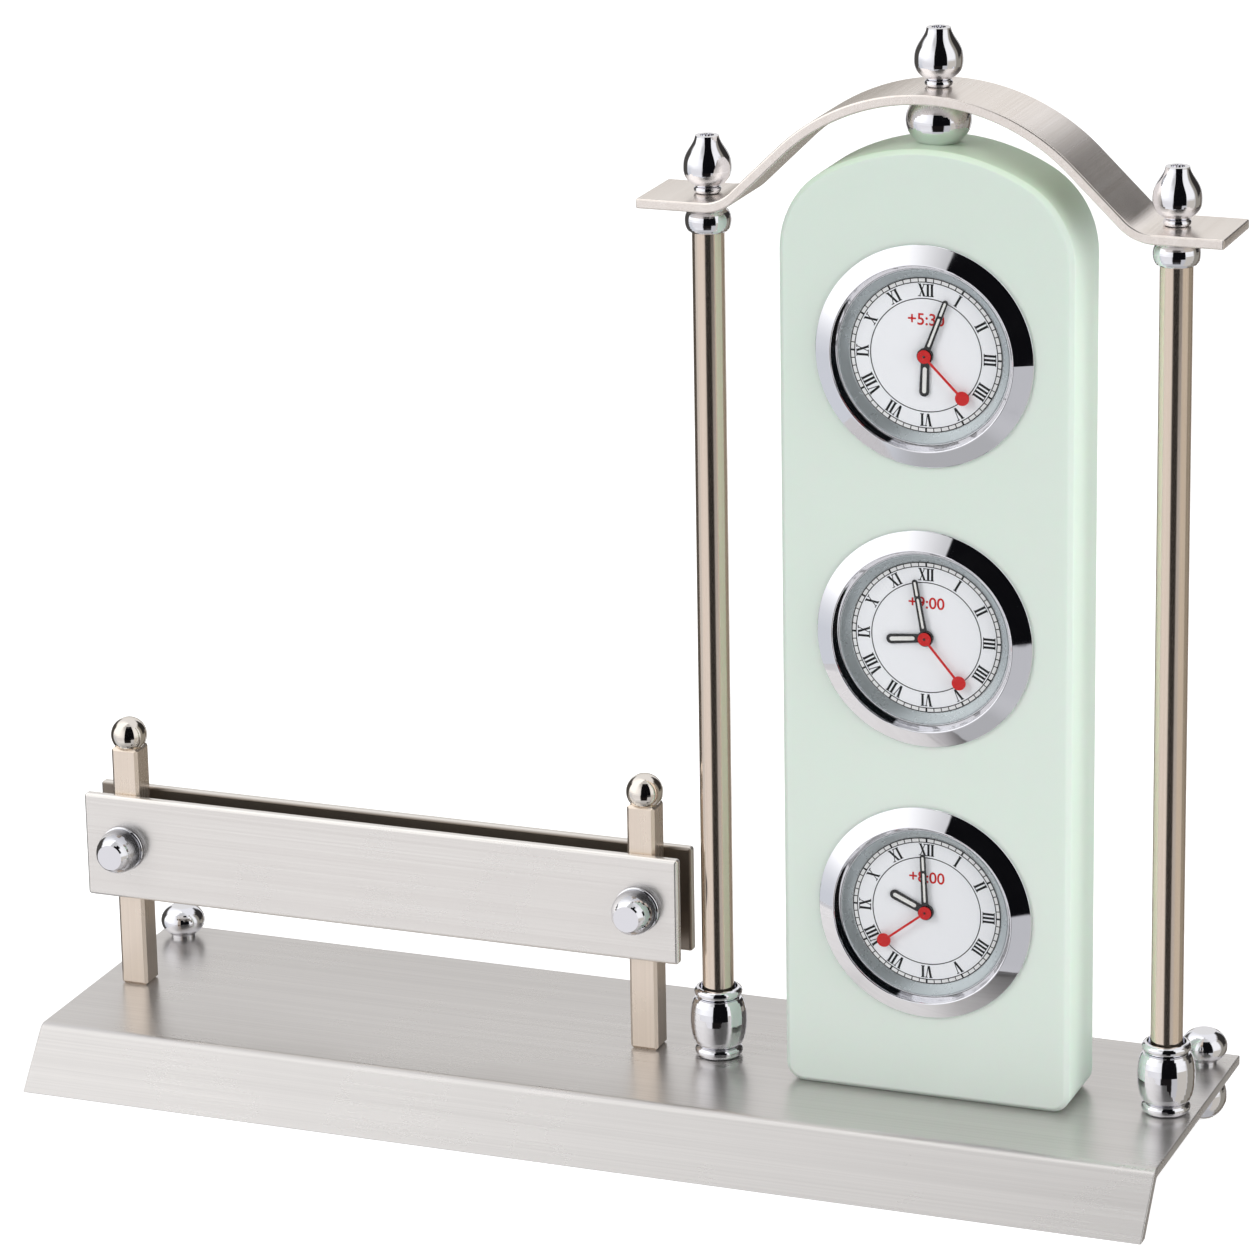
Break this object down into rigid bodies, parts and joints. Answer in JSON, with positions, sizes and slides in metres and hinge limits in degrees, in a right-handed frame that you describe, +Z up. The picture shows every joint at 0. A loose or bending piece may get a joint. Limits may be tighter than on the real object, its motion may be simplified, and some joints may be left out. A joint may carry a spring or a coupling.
{
  "type": "world time desk clock with letter rack",
  "caption": "Desk clock with insert dials in a frosted glass block hung under an arched strap between turned pillars, beside a letter rack on a bent steel base.",
  "frame": {"origin": "on the table, at the middle of the footprint", "axes": "+X to the viewer's right along the base, +Y away from the viewer through the block, +Z up"},
  "size_m": [0.2786, 0.0818, 0.2575],
  "materials": {
    "brushed_sheet": "long straight brushing along the length",
    "satin_champagne": "fine satin, warm champagne tint",
    "polished_chrome": "mirror polished plating",
    "frosted_glass": "frosted mint green, satin faces and polished bevels",
    "lens_glass": "clear flat lens",
    "dial_silver": "satin silver lacquer with black printing",
    "can_metal": "pressed and lightly brushed",
    "grip_rubber": "ribbed black rubber",
    "movement_plastic": "moulded ivory plastic",
    "cell_steel": "plain button cell can",
    "knob_plastic": "fluted black plastic",
    "hand_black": "gloss black with pale inlay",
    "hand_red": "gloss red",
    "screw_steel": "plain zinc plated screws"
  },
  "bodies": {
    "stand": {"base_plate": "brushed_sheet", "left_post": "satin_champagne", "right_post": "satin_champagne", "post_balls": "satin_champagne", "front_nameplate": "brushed_sheet", "rear_nameplate": "brushed_sheet", "plate_knobs": "polished_chrome", "plate_screws": "screw_steel", "post_screws": "screw_steel", "left_pillar": "satin_champagne", "right_pillar": "satin_champagne", "left_socket": "polished_chrome", "right_socket": "polished_chrome", "left_collar": "polished_chrome", "right_collar": "polished_chrome", "tie_screws": "screw_steel", "arch_strap": "satin_champagne", "left_finial": "polished_chrome", "right_finial": "polished_chrome", "centre_finial": "polished_chrome", "arch_spacer": "polished_chrome", "centre_stud": "screw_steel", "glass_block": "frosted_glass", "block_screws": "screw_steel", "cap_balls": "polished_chrome", "ball_feet": "polished_chrome", "foot_studs": "screw_steel"},
    "top_insert": {"top_bezel": "polished_chrome", "top_lens": "lens_glass", "top_dial": "dial_silver", "top_case": "can_metal", "top_grip_ring": "grip_rubber", "top_movement": "movement_plastic", "top_battery": "cell_steel"},
    "top_knob": {"top_set_knob": "knob_plastic"},
    "top_hour": {"top_hour_hand": "hand_black"},
    "top_minute": {"top_minute_hand": "hand_black"},
    "top_second": {"top_second_hand": "hand_red"},
    "middle_insert": {"middle_bezel": "polished_chrome", "middle_lens": "lens_glass", "middle_dial": "dial_silver", "middle_case": "can_metal", "middle_grip_ring": "grip_rubber", "middle_movement": "movement_plastic", "middle_battery": "cell_steel"},
    "middle_knob": {"middle_set_knob": "knob_plastic"},
    "middle_hour": {"middle_hour_hand": "hand_black"},
    "middle_minute": {"middle_minute_hand": "hand_black"},
    "middle_second": {"middle_second_hand": "hand_red"},
    "bottom_insert": {"bottom_bezel": "polished_chrome", "bottom_lens": "lens_glass", "bottom_dial": "dial_silver", "bottom_case": "can_metal", "bottom_grip_ring": "grip_rubber", "bottom_movement": "movement_plastic", "bottom_battery": "cell_steel"},
    "bottom_knob": {"bottom_set_knob": "knob_plastic"},
    "bottom_hour": {"bottom_hour_hand": "hand_black"},
    "bottom_minute": {"bottom_minute_hand": "hand_black"},
    "bottom_second": {"bottom_second_hand": "hand_red"}
  },
  "joints": [
    {"name": "top_insert_pull", "type": "slide", "parent": "stand", "child": "top_insert", "axis": [0, -1, 0], "range_m": [0, 0.0124]},
    {"name": "top_knob_turn", "type": "hinge", "parent": "top_insert", "child": "top_knob", "pos_m": [0.07265, -0.0066, 0.1868], "axis": [0, 1, 0], "continuous": true},
    {"name": "top_minute_turn", "type": "hinge", "parent": "top_insert", "child": "top_minute", "pos_m": [0.07265, -0.0066, 0.1868], "axis": [0, 1, 0], "continuous": true},
    {"name": "top_hour_turn", "type": "hinge", "parent": "top_insert", "child": "top_hour", "pos_m": [0.07265, -0.0066, 0.1868], "axis": [0, 1, 0], "continuous": true},
    {"name": "top_second_turn", "type": "hinge", "parent": "top_insert", "child": "top_second", "pos_m": [0.07265, -0.0066, 0.1868], "axis": [0, 1, 0], "continuous": true},
    {"name": "middle_insert_pull", "type": "slide", "parent": "stand", "child": "middle_insert", "axis": [0, -1, 0], "range_m": [0, 0.0124]},
    {"name": "middle_knob_turn", "type": "hinge", "parent": "middle_insert", "child": "middle_knob", "pos_m": [0.07265, -0.0066, 0.1224], "axis": [0, 1, 0], "continuous": true},
    {"name": "middle_minute_turn", "type": "hinge", "parent": "middle_insert", "child": "middle_minute", "pos_m": [0.07265, -0.0066, 0.1224], "axis": [0, 1, 0], "continuous": true},
    {"name": "middle_hour_turn", "type": "hinge", "parent": "middle_insert", "child": "middle_hour", "pos_m": [0.07265, -0.0066, 0.1224], "axis": [0, 1, 0], "continuous": true},
    {"name": "middle_second_turn", "type": "hinge", "parent": "middle_insert", "child": "middle_second", "pos_m": [0.07265, -0.0066, 0.1224], "axis": [0, 1, 0], "continuous": true},
    {"name": "bottom_insert_pull", "type": "slide", "parent": "stand", "child": "bottom_insert", "axis": [0, -1, 0], "range_m": [0, 0.0124]},
    {"name": "bottom_knob_turn", "type": "hinge", "parent": "bottom_insert", "child": "bottom_knob", "pos_m": [0.07265, -0.0066, 0.058], "axis": [0, 1, 0], "continuous": true},
    {"name": "bottom_minute_turn", "type": "hinge", "parent": "bottom_insert", "child": "bottom_minute", "pos_m": [0.07265, -0.0066, 0.058], "axis": [0, 1, 0], "continuous": true},
    {"name": "bottom_hour_turn", "type": "hinge", "parent": "bottom_insert", "child": "bottom_hour", "pos_m": [0.07265, -0.0066, 0.058], "axis": [0, 1, 0], "continuous": true},
    {"name": "bottom_second_turn", "type": "hinge", "parent": "bottom_insert", "child": "bottom_second", "pos_m": [0.07265, -0.0066, 0.058], "axis": [0, 1, 0], "continuous": true}
  ],
  "couplings": [
    {"joint": "top_hour_turn", "follows": "top_knob_turn", "ratio": 0.083333},
    {"joint": "top_minute_turn", "follows": "top_knob_turn", "ratio": 1},
    {"joint": "middle_hour_turn", "follows": "middle_knob_turn", "ratio": 0.083333},
    {"joint": "middle_minute_turn", "follows": "middle_knob_turn", "ratio": 1},
    {"joint": "bottom_hour_turn", "follows": "bottom_knob_turn", "ratio": 0.083333},
    {"joint": "bottom_minute_turn", "follows": "bottom_knob_turn", "ratio": 1}
  ]
}
